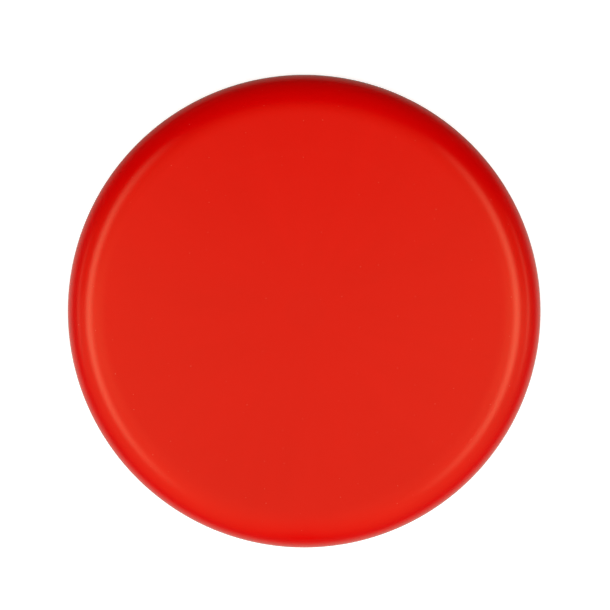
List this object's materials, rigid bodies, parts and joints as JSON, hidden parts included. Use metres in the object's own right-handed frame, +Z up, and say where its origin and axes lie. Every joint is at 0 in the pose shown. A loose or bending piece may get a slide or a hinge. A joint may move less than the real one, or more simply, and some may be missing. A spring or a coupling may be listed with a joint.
{
  "type": "flying disc",
  "caption": "One-piece moulded flying disc: flat round flight plate, rounded shoulder and a rim that turns in to a thicker lip around an open hollow underneath.",
  "frame": {"origin": "centre of the circle that the rim rests on, at the bottom of the bounding box", "axes": "+Z up along the axis the disc spins about, from the rim's resting face towards the flight plate; X and Y lie in the resting plane"},
  "size_m": [0.23, 0.23, 0.024],
  "materials": {
    "red_polypropylene": "gloss"
  },
  "bodies": {
    "root": {"disc": "red_polypropylene"}
  },
  "joints": []
}
